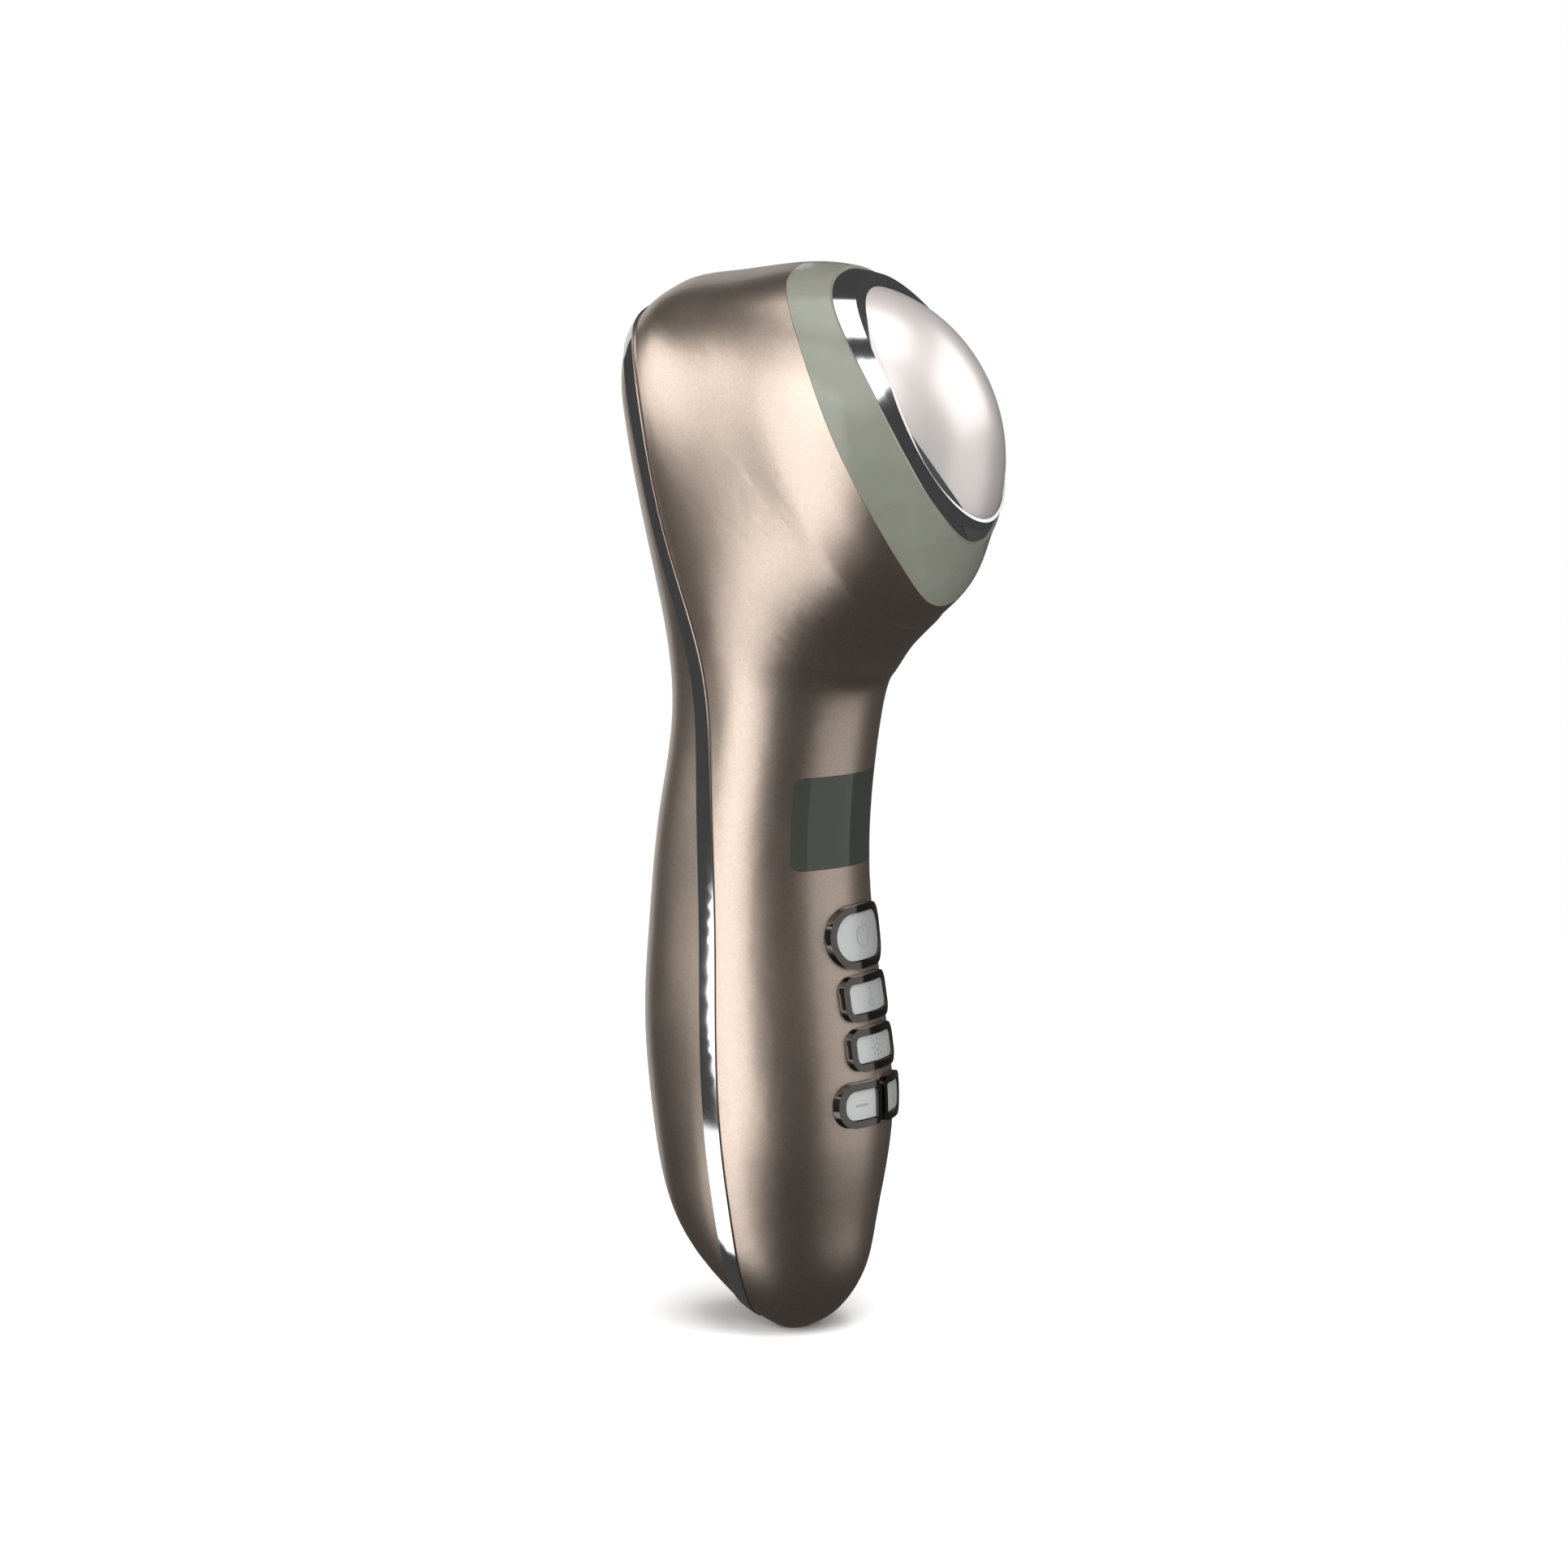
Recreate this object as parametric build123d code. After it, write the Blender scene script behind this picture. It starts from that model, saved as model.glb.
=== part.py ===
from build123d import *
from math import copysign, cos, hypot, pi, radians, sin, sqrt
import os

# Hot and cold facial massager, upright. The front, with its buttons, faces -Y and the head is up.
# The origin is the middle of the grip. Side-view points are (forward, up), with forward along -Y.

# ---- overall sizes ----
body_length = 188.0
grip_width = 43.0
head_width = 49.4
drawn_length = 188.0
drawn_grip = 43.0
drawn_head = 49.4

grip_fullness = 2.0

# ---- walls and clearances ----
wall = 2.2
part_gap = 0.06
slide_gap = 0.12
press_travel = 0.5

# ---- trim, light ring and bezel ----
trim_width = 3.0
trim_proud = 0.45
ring_wall = 2.2
bezel_step = 0.5
bezel_wall = 1.2
bezel_flange_start = -1.0

# ---- treatment head ----
face_forward = 29.0
face_up = 106.2
face_tilt = 26.0
dome_height = 13.8
dome_rise = 28.6
dome_half_height = 29.6
dome_half_width = 22.0
dome_wall = 1.6
dome_skirt = 1.2
dome_base = 3.0
dome_shift = -0.2
pad_width = 21.0
pad_height = 25.0
pad_back = 1.0
seal_thickness = 0.8
cooler_side = 20.0
ceramic_thickness = 0.8
pellet_height = 1.8
pellet_side = 1.4
pellet_pitch = 2.8
pellets_each_way = 7
sink_half_width = 13.6
sink_half_height = 19.0
sink_base = 3.0
fin_depth = 9.0
fin_thickness = 1.2
fin_pitch = 3.2
fin_count = 8
sink_screw_up = 15.2
sink_screw_radius = 1.2
sink_post_radius = 2.2
sink_head_room = 0.4
sink_screw_length = 7.0
sink_hole_depth = 5.0
led_board_back = -3.0
led_board_thickness = 0.8
led_board_inner_width = 14.4
led_board_inner_height = 19.8
led_side = 2.0
led_height = 0.8
led_count = 12
led_margin = 0.2
frame_thickness = 1.6
sensor_radius = 1.2
sensor_length = 4.0

# ---- display ----
window_width = 26.5
window_height = 16.2
window_up = 36.1
window_corner = 1.6
window_thickness = 1.6
window_ledge = 1.1
panel_width = 21.6
panel_height = 13.2
panel_thickness = 1.1
panel_setback = 4.3

# ---- buttons: name, across, up, width, height, left corner radius, right corner radius ----
button_ring_width = 1.3
ring_proud = 1.1
cap_proud = 0.75
cap_thickness = 2.4
flange_width = 0.6
flange_thickness = 0.8
buttons = [
    ("power", 0.0, 15.6, 17.4, 11.0, 5.4, 5.4),
    ("temperature", 0.0, 5.0, 14.7, 7.9, 2.6, 2.6),
    ("light", 0.0, -3.8, 14.7, 7.4, 2.6, 2.6),
    ("minus", -5.6, -13.2, 10.3, 7.9, 3.6, 1.7),
    ("plus", 5.6, -13.2, 10.3, 7.9, 1.7, 3.6),
]
switch_side = 6.0
switch_height = 3.4
plunger_radius = 1.6
plunger_height = 0.8
stem_radius = 1.9

# ---- electronics ----
board_depth = 10.0
board_thickness = 1.6
board_bottom = -23.5
board_top = 46.6
board_corner = 2.0
board_side_gap = 1.0
post_radius = 2.3
post_across = 9.2
post_heights = (24.7, -20.3)
board_screw_radius = 1.0
board_screw_length = 6.0
screw_head_height = 1.3
screw_clearance = 0.1
cell_radius = 9.1
cell_length = 50.0
cell_up = -1.0
cradle_length = 38.0
cradle_reach = 6.5
cell_room = 0.4
chip_up = 36.0
chip_side = 7.0
chip_height = 1.2
transistor_up = -16.0
transistor_places = (-6.0, 0.0, 6.0)
transistor_width = 4.4
transistor_length = 5.2
transistor_height = 1.8
capacitor_up = 42.0
capacitor_places = (-7.0, 7.0)
capacitor_radius = 2.0
capacitor_height = 3.8

# ---- socket at the lower tip ----
socket_forward = 5.7
socket_bore_radius = 1.8
socket_nose_radius = 2.6
socket_body_radius = 3.7
socket_length = 12.0
socket_bore_depth = 10.5
socket_shoulder = 4.2

# ---- vibration motor ----
motor_radius = 6.0
motor_length = 15.0
motor_forward = -6.0
motor_up = 84.0
shaft_radius = 1.0
shaft_length = 9.0
shaft_in_can = 2.0
can_shift = 3.75
weight_radius = 5.0
weight_length = 5.0
weight_gap = 0.6
weight_flat = 1.6
bracket_width = 12.0
bracket_depth = 14.0
bracket_height = 15.0
bracket_back = 2.0

# ---- case screws ----
case_screw_radius = 1.3
case_screw_head_radius = 2.3
case_screw_length = 14.0
boss_radius = 3.0
bosses = [(56.0, 6.5), (-40.0, 2.0)]  # height, and gap to the side wall
head_recess = 3.0

# ---- leads ----
lead_radius = 0.7

# Cross-sections from tip to face: (front forward, front up), (back forward, back up), half width.
# The upper ones turn about the throat until they face along the treatment head, and add a
# fullness: 2 is an ellipse, and more is squarer.
grip_sections = [
    ((8.6, -55.2), (2.6, -54.6), 4.2),
    ((12.6, -52.9), (-1.6, -52.3), 7.8),
    ((16.0, -49.0), (-5.6, -49.0), 11.2),
    ((19.8, -36.0), (-15.8, -36.0), 17.6),
    ((22.4, -18.0), (-20.0, -18.0), 21.0),
    ((20.9, 0.0), (-21.6, 0.0), 21.2),
    ((18.4, 18.0), (-20.8, 18.0), 19.6),
    ((18.1, 36.0), (-18.9, 36.0), 18.7),
    ((20.2, 53.0), (-16.2, 53.0), 18.6),
]
head_sections = [
    ((22.9, 60.7), (-19.2, 80.0), 21.0, 2.05),
    ((26.2, 65.4), (-24.2, 109.0), 24.2, 2.2),
    ((27.7, 67.0), (-24.0, 119.5), 24.8, 2.3),
    ((29.1, 68.4), (-18.5, 127.2), 25.0, 2.35),
    ((30.6, 69.9), (-8.0, 129.8), 24.9, 2.35),
    ((32.2, 71.6), (3.0, 131.3), 24.6, 2.3),
    ((37.0, 76.4), (11.0, 131.8), 23.1, 2.2),
    ((40.2, 83.0), (18.5, 131.0), 20.5, 2.1),
    ((43.6, 88.2), (25.5, 129.6), 16.4, 2.0),
]
# Where the two shells part, from high on the back, down the side and under the tip.
parting_points = [
    (-30.0, 125.5),
    (-22.0, 123.0),
    (-17.3, 116.5),
    (-9.6, 87.0),
    (-3.9, 66.0),
    (-1.8, 42.0),
    (0.4, 3.0),
    (1.6, -24.0),
    (1.6, -43.0),
    (-0.4, -54.0),
    (-4.0, -62.0),
]
# The rims of the light ring and the bezel bulge forward on both sides of the head.
shell_rim_points = [(0.0, 136.0), (8.7, 130.4), (25.7, 103.9), (33.2, 87.0), (35.2, 78.0), (31.0, 66.0)]
ring_rim_points = [(12.0, 136.0), (20.2, 126.0), (31.2, 110.6), (39.2, 93.4), (41.0, 86.0), (38.0, 77.0)]
dome_rim_points = [(16.0, 135.0), (22.1, 128.0), (35.9, 107.6), (41.9, 96.6), (43.6, 90.0), (42.0, 82.0)]

across_stretch = grip_width / drawn_grip
up_stretch = body_length / drawn_length
head_stretch = head_width / drawn_head
reach = 80.0
rim_points = 8
sections_per_gap = 3
raised_sections = 6
least_half_width = 0.7

parts = {}
forms = {}


def side(point):
    """A side-view point at the body's size, as a vector in the middle plane."""
    return Vector(0, -point[0] * across_stretch, point[1] * up_stretch)


def forward_of(value):
    return value * across_stretch


def up_of(value):
    return value * up_stretch


def section(values, inset):
    """A rounded cross-section between its front and back points, drawn in by the inset."""
    front_point = side(values[0:2])
    back_point = side(values[2:4])
    half_width, fullness = values[4:6]
    along = back_point - front_point
    normal = Vector(1, 0, 0).cross(along.normalized())
    plane = Plane(origin=(front_point + back_point) / 2, x_dir=(1, 0, 0), z_dir=normal)
    rim = []
    for step in range(rim_points):
        turn = 2 * pi * step / rim_points
        across = copysign(abs(sin(turn)) ** (2 / fullness), sin(turn))
        depth = copysign(abs(cos(turn)) ** (2 / fullness), cos(turn))
        rim.append(((half_width - inset) * across, (along.length / 2 - inset) * depth))
    even = [step / rim_points for step in range(rim_points + 1)]
    return plane * make_face(Edge.make_spline(rim, periodic=True, parameters=even))


def bends(times, values):
    """Second derivatives of the smooth curve through values at times, straight at its ends."""
    count = len(times)
    upper = [0.0] * count
    result = [0.0] * count
    for i in range(1, count - 1):
        before = times[i] - times[i - 1]
        after = times[i + 1] - times[i]
        turn = (values[i + 1] - values[i]) / after - (values[i] - values[i - 1]) / before
        pivot = 2 * (before + after) - before * upper[i - 1]
        upper[i] = after / pivot
        result[i] = (6 * turn - before * result[i - 1]) / pivot
    for i in range(count - 2, 0, -1):
        result[i] -= upper[i] * result[i + 1]
    return result


def smooth_sections():
    """Every cross-section, with more between them along smooth curves."""
    rows = []
    for front, back, half_width in grip_sections:
        rows.append((*front, *back, half_width * across_stretch, grip_fullness))
    for front, back, half_width, fullness in head_sections:
        rows.append((*front, *back, half_width * head_stretch, fullness))
    times = [0.0]
    for low, high in zip(rows, rows[1:]):
        front_step = hypot(high[0] - low[0], high[1] - low[1])
        back_step = hypot(high[2] - low[2], high[3] - low[3])
        times.append(times[-1] + max(front_step, back_step))
    columns = list(zip(*rows))
    curves = [bends(times, column) for column in columns]
    smooth = []
    for i in range(len(rows) - 1):
        gap = times[i + 1] - times[i]
        for step in range(sections_per_gap):
            b = step / sections_per_gap
            a = 1 - b
            values = []
            for column, curve in zip(columns, curves):
                swell = ((a**3 - a) * curve[i] + (b**3 - b) * curve[i + 1]) * gap**2 / 6
                values.append(a * column[i] + b * column[i + 1] + swell)
            smooth.append(values)
    smooth.append(list(rows[-1]))
    return smooth


def body(inset):
    """The whole outside form, drawn in evenly by the inset, or out where it is negative."""
    if inset not in forms:
        faces = []
        for index, values in enumerate(smooth_sections()):
            lift = max(0.0, inset) * max(0.0, 1 - index / raised_sections) / up_stretch
            raised = [values[0], values[1] + lift, values[2], values[3] + lift, values[4], values[5]]
            half_depth = (side(raised[2:4]) - side(raised[0:2])).length / 2
            if min(half_depth, raised[4]) - inset > least_half_width:
                faces.append(section(raised, inset))
        forms[inset] = loft(faces)
    return forms[inset]


def grip_outline(up):
    """Front, back and half width of the grip at a height."""
    stations = [(side(f), side(b), w * across_stretch) for f, b, w in grip_sections]
    for low, high in zip(stations, stations[1:]):
        if low[0].Z <= up <= high[0].Z:
            share = (up - low[0].Z) / (high[0].Z - low[0].Z)
            front = -(low[0].Y + (high[0].Y - low[0].Y) * share)
            back = -(low[1].Y + (high[1].Y - low[1].Y) * share)
            return front, back, low[2] + (high[2] - low[2]) * share
    raise ValueError("height outside the grip")


def half_chord(up, forward, inset):
    """Half the width between the walls of the grip, at a height and a depth."""
    front, back, half_width = grip_outline(up)
    middle = (front + back) / 2
    depth = (front - back) / 2 - inset
    return (half_width - inset) * sqrt(1 - ((forward - middle) / depth) ** 2)


def in_front(points, shift):
    """Everything forward of a side-view curve that is moved forward by the shift."""
    line = Spline([side(point) for point in points])
    steps = 2 * len(points)
    moved = []
    for step in range(steps + 1):
        direction = line % (step / steps)
        forward = Vector(0, direction.Z, -direction.Y)
        moved.append((line @ (step / steps)) + forward * shift)
    edge = Spline(moved)
    top = edge @ 0
    bottom = edge @ 1
    far = 3 * reach
    rest = Polyline(bottom, (0, bottom.Y, -far), (0, -far, -far), (0, -far, far), (0, top.Y, far), top)
    return extrude(make_face([edge, rest]), amount=reach, both=True)


def front_prism(outline):
    """An outline seen from the front, run through the body from front to middle."""
    return extrude(Plane(origin=(0, 0, 0), x_dir=(1, 0, 0), z_dir=(0, -1, 0)) * outline, amount=reach)


def one(shape):
    """The largest solid of a shape, dropping slivers cut loose at a tangent."""
    return max(shape.solids(), key=lambda solid: solid.volume)


outer_form = body(0)
hollow_form = body(wall)
inner_limit = body(wall + part_gap)

half_trim = trim_width / 2
front_zone = in_front(parting_points, half_trim + part_gap)
behind_front_zone = in_front(parting_points, -half_trim - part_gap)
past_shell_rim = in_front(shell_rim_points, 0)
past_ring_start = in_front(shell_rim_points, part_gap)
past_ring_rim = in_front(ring_rim_points, 0)
past_bezel_start = in_front(ring_rim_points, part_gap)
past_dome_rim = in_front(dome_rim_points, 0)

face_plane = Plane(
    origin=side((face_forward, face_up)),
    x_dir=(1, 0, 0),
    z_dir=(0, -cos(radians(face_tilt)), sin(radians(face_tilt))),
)


def face_slab(low, high):
    """The space between two heights over the face."""
    return face_plane * Pos(0, 0, (low + high) / 2) * Box(2 * reach, 2 * reach, high - low)


def dome_form(inset):
    """The dome's full ellipsoid, drawn in by the inset."""
    ball = scale(Sphere(1), by=(dome_half_width - inset, dome_half_height - inset, dome_rise - inset))
    return face_plane * Pos(0, dome_shift, dome_height - dome_rise) * ball


def above_skirt(depth):
    """The room of the dome down to its skirt's edge, and further by the depth."""
    return in_front(dome_rim_points, -dome_skirt - depth) & face_slab(dome_base - depth, reach)


def button_outline(spec, grow):
    """A button's front outline, grown or drawn in."""
    name, across, up, width, height, left_radius, right_radius = spec
    sketch = Rectangle(width + 2 * grow, height + 2 * grow)
    left = sketch.vertices().sort_by(Axis.X)[:2]
    sketch = fillet(left, left_radius + grow)
    right = sketch.vertices().filter_by_position(Axis.X, width / 2 + grow - 0.001, width / 2 + grow + 0.001)
    sketch = fillet(right, right_radius + grow)
    return Pos(across, up_of(up)) * sketch


def make_front_shell():
    shell = (outer_form - hollow_form) & front_zone
    shell = shell - past_shell_rim
    shell = one(shell)
    board_front = board_forward()
    for up in post_heights:
        for across in (-post_across, post_across):
            post = Pos(across, -board_front - reach / 2 - part_gap, up_of(up)) * Rot(90, 0, 0)
            post = post * Cylinder(post_radius, reach)
            hole = Pos(across, -board_front, up_of(up)) * Rot(90, 0, 0)
            hole = hole * Cylinder(board_screw_radius + screw_clearance, 2 * board_screw_length)
            shell = shell + (post & body(wall / 2))
            shell = shell - hole
    for across, up in boss_places():
        boss = Pos(across, -reach / 2 - parting_at(up) - part_gap, up) * Rot(90, 0, 0)
        boss = boss * Cylinder(boss_radius, reach)
        hole = Pos(across, -parting_at(up), up) * Rot(90, 0, 0)
        hole = hole * Cylinder(case_screw_radius + screw_clearance, 2 * case_screw_length)
        shell = shell + (boss & body(wall / 2))
        shell = shell - (hole & hollow_form)
    for spec in buttons:
        shell = shell - front_prism(button_outline(spec, part_gap))
    shell = shell - front_prism(window_outline(-window_ledge))
    shell = shell - (front_prism(window_outline(part_gap)) - body(window_thickness + part_gap))
    nose = Pos(0, -forward_of(socket_forward), tip_up()) * Cylinder(socket_nose_radius + part_gap, reach / 2)
    pocket = Pos(0, -forward_of(socket_forward), tip_up() + socket_shoulder + reach / 4 - part_gap)
    pocket = pocket * Cylinder(socket_body_radius + part_gap, reach / 2)
    return one(shell - nose - pocket)


def make_rear_shell():
    shell = one((outer_form - hollow_form) - behind_front_zone)
    for across, up in boss_places():
        boss = Pos(across, reach / 2 - parting_at(up) + part_gap, up) * Rot(90, 0, 0)
        boss = boss * Cylinder(boss_radius, reach)
        shell = shell + (boss & body(wall / 2))
        hole = Pos(across, -parting_at(up), up) * Rot(90, 0, 0)
        hole = hole * Cylinder(case_screw_radius + screw_clearance, 2 * reach)
        recess = Pos(across, reach / 2 - screw_seat(up, abs(across)), up) * Rot(90, 0, 0)
        recess = recess * Cylinder(case_screw_head_radius + screw_clearance, reach)
        shell = shell - hole - recess
    return one(shell)


def parting_at(up):
    """How far forward the shells part, at a height in the grip."""
    line = Spline([side(point) for point in parting_points])
    steps = 200
    nearest = min((line @ (step / steps) for step in range(steps + 1)), key=lambda point: abs(point.Z - up))
    return -nearest.Y


def rear_forward(up, across):
    """How far forward the rear face of the grip lies, off to one side."""
    front, back, half_width = grip_outline(min(up, side(grip_sections[-1][0]).Z))
    middle = (front + back) / 2
    return middle - (front - back) / 2 * sqrt(1 - (across / half_width) ** 2)


def screw_seat(up, across):
    """How far forward a case screw's head sits."""
    return rear_forward(up, across + case_screw_head_radius) + head_recess


def boss_places():
    places = []
    for up, wall_gap in bosses:
        height = up_of(up)
        width = grip_outline(min(height, side(grip_sections[-1][0]).Z))[2]
        across = width - wall - wall_gap - boss_radius
        places += [(-across, height), (across, height)]
    return places


def board_forward():
    """How far forward the front face of the main board lies."""
    return grip_outline(up_of(window_up))[0] - board_depth


def tip_up():
    return side(grip_sections[0][0]).Z


def window_outline(grow):
    outline = RectangleRounded(window_width + 2 * grow, window_height + 2 * grow, window_corner)
    return Pos(0, up_of(window_up)) * outline


def make_trim():
    band = body(-trim_proud) - hollow_form
    band = band & in_front(parting_points, -half_trim)
    band = band - in_front(parting_points, half_trim)
    return one(band)


def make_light_ring():
    ring = outer_form - body(ring_wall)
    return one((ring & past_ring_start) - past_ring_rim)


def make_bezel():
    rim = (body(bezel_step) & past_bezel_start) - past_dome_rim
    flange = body(ring_wall + slide_gap) & face_slab(bezel_flange_start, reach)
    flange = flange - past_dome_rim
    bezel = rim + flange
    bezel = bezel - body(ring_wall + slide_gap + bezel_wall)
    cavity = dome_form(-slide_gap) & above_skirt(2 * part_gap + seal_thickness)
    return one(bezel - cavity)


def make_dome():
    shell = dome_form(0) - dome_form(dome_wall)
    shell = shell & above_skirt(0)
    pad = face_plane * Pos(0, 0, pad_back + reach / 2) * Box(pad_width, pad_height, reach)
    dome = shell + (pad & dome_form(dome_wall / 2))
    for up in (-sink_screw_up, sink_screw_up):
        post = face_plane * Pos(0, up, sink_top() + part_gap + reach / 2) * Cylinder(sink_post_radius, reach)
        dome = dome + (post & dome_form(dome_wall / 2))
        hole = face_plane * Pos(0, up, sink_top()) * Cylinder(sink_screw_radius + screw_clearance, 2 * sink_hole_depth)
        dome = dome - hole
    sensor_hole = face_plane * Pos(0, -(cooler_side + pad_height) / 4, pad_back)
    sensor_hole = sensor_hole * Cylinder(sensor_radius + part_gap, 2 * (sensor_length / 2 + part_gap))
    return one(dome - sensor_hole)


def sink_top():
    return pad_back - 2 * ceramic_thickness - pellet_height - 4 * part_gap


def add_treatment_stack():
    """The cooler, its heat sink and their fixings, behind the dome's pad."""
    cold_top = pad_back - part_gap
    pellet_top = cold_top - ceramic_thickness - part_gap
    hot_top = pellet_top - pellet_height - part_gap
    plate = Box(cooler_side, cooler_side, ceramic_thickness)
    parts["cooler_cold_plate"] = face_plane * Pos(0, 0, cold_top - ceramic_thickness / 2) * plate
    parts["cooler_hot_plate"] = face_plane * Pos(0, 0, hot_top - ceramic_thickness / 2) * plate
    pellet_places = GridLocations(pellet_pitch, pellet_pitch, pellets_each_way, pellets_each_way)
    pellets = []
    for place in pellet_places:
        pellets.append(face_plane * Pos(0, 0, pellet_top - pellet_height / 2) * place
                       * Box(pellet_side, pellet_side, pellet_height))
    parts["cooler_pellets"] = Compound(children=[solid for pellet in pellets for solid in pellet.solids()])
    top = sink_top()
    oval = Ellipse(sink_half_width, sink_half_height)
    column = face_plane * Pos(0, 0, top - sink_base - fin_depth) * extrude(oval, amount=sink_base + fin_depth)
    sink = column
    for index in range(fin_count - 1):
        across = (index - (fin_count - 2) / 2) * fin_pitch
        slot = Pos(across, 0, top - sink_base - fin_depth)
        sink = sink - face_plane * slot * Box(fin_pitch - fin_thickness, 4 * sink_half_height, 2 * fin_depth)
    screws = []
    for up in (-sink_screw_up, sink_screw_up):
        way = face_plane * Pos(0, up, top - reach / 2) * Cylinder(sink_screw_radius + screw_clearance, 2 * reach)
        room = face_plane * Pos(0, up, top - sink_base - reach / 2) * Cylinder(sink_post_radius + sink_head_room, reach)
        sink = sink - way - room
        shank = Pos(0, up, top - sink_base - 2 * part_gap + sink_screw_length / 2)
        shank = shank * Cylinder(sink_screw_radius, sink_screw_length)
        cap = Pos(0, up, top - sink_base - screw_head_height / 2 - part_gap)
        cap = cap * Cylinder(sink_post_radius, screw_head_height)
        screws.append(face_plane * (shank + cap))
    parts["heat_sink"] = one(sink)
    parts["heat_sink_screws"] = Compound(children=[screw.solid() for screw in screws])
    sensor_up = -(cooler_side + pad_height) / 4
    parts["temperature_sensor"] = face_plane * Pos(0, sensor_up, pad_back) * Cylinder(sensor_radius, sensor_length)
    seal = dome_form(0) - dome_form(dome_wall / 2 - part_gap)
    seal = seal & above_skirt(part_gap + seal_thickness)
    parts["dome_seal"] = one(seal - above_skirt(part_gap))


def add_lighting():
    """The oval lamp board inside the light ring, and the frame that carries it."""
    limit = body(ring_wall + slide_gap + bezel_wall + part_gap)
    hole = Ellipse(led_board_inner_width, led_board_inner_height)
    hole = face_plane * Pos(0, 0, -reach / 2) * extrude(hole, amount=reach)
    board_top_height = led_board_back + led_board_thickness
    board = (limit & face_slab(led_board_back, board_top_height)) - hole
    parts["lamp_board"] = one(board)
    frame_top = led_board_back - part_gap
    frame = (inner_limit & face_slab(frame_top - frame_thickness, frame_top)) - hole
    parts["head_frame"] = one(frame)
    across_radius = led_board_inner_width + led_side + led_margin
    up_radius = led_board_inner_height + led_side + led_margin
    lamps = []
    for index in range(led_count):
        turn = 2 * pi * (index + 0.5) / led_count
        place = Pos(across_radius * cos(turn), up_radius * sin(turn), board_top_height + part_gap + led_height / 2)
        lamps.append((face_plane * place * Box(led_side, led_side, led_height)).solid())
    parts["lamps"] = Compound(children=lamps)


def add_display():
    window = front_prism(window_outline(0)) & outer_form
    parts["display_window"] = one(window - body(window_thickness))
    front = grip_outline(up_of(window_up))[0]
    panel_front = front - window_thickness - panel_setback
    panel = Pos(0, -(panel_front - panel_thickness / 2), up_of(window_up))
    parts["display_panel"] = panel * Box(panel_width, panel_thickness, panel_height)
    light_depth = panel_front - panel_thickness - board_forward() - 2 * part_gap
    light = Pos(0, -(board_forward() + part_gap + light_depth / 2), up_of(window_up))
    parts["display_backlight"] = light * Box(panel_width, light_depth, panel_height)


def add_buttons():
    """Each button with its ring, its switch and the switch's plunger."""
    board_front = board_forward()
    for spec in buttons:
        name, across, up = spec[:3]
        height = up_of(up)
        ring = front_prism(button_outline(spec, 0)) - front_prism(button_outline(spec, -button_ring_width))
        parts[name + "_button_ring"] = one((ring & body(-ring_proud)) - hollow_form)
        cap_grow = -button_ring_width - slide_gap
        cap = front_prism(button_outline(spec, cap_grow)) & body(-cap_proud)
        flange = front_prism(button_outline(spec, cap_grow + flange_width)) & body(wall + slide_gap)
        cap = (cap + flange) - body(wall + slide_gap + flange_thickness)
        plunger_top = board_front + part_gap + switch_height + plunger_height
        stem = Pos(across, -plunger_top - part_gap - reach / 2, height) * Rot(90, 0, 0)
        stem = stem * Cylinder(stem_radius, reach)
        cap = cap + (stem & body(wall))
        parts[name + "_button"] = one(cap)
        switch = Pos(across, -(board_front + part_gap + switch_height / 2), height)
        well = Pos(across, -(board_front + part_gap + switch_height), height) * Rot(90, 0, 0)
        well = well * Cylinder(plunger_radius + slide_gap, 2 * (press_travel + plunger_height))
        parts[name + "_switch"] = switch * Box(switch_side, switch_height, switch_side) - well
        plunger = Pos(across, -(plunger_top - plunger_height), height) * Rot(90, 0, 0)
        parts[name + "_plunger"] = plunger * Cylinder(plunger_radius, 2 * plunger_height)


def board_half_width():
    back = board_forward() - board_thickness
    low = half_chord(up_of(board_top), board_forward(), wall)
    high = half_chord(up_of(board_bottom), back, wall)
    return min(low, high) - board_side_gap


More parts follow.
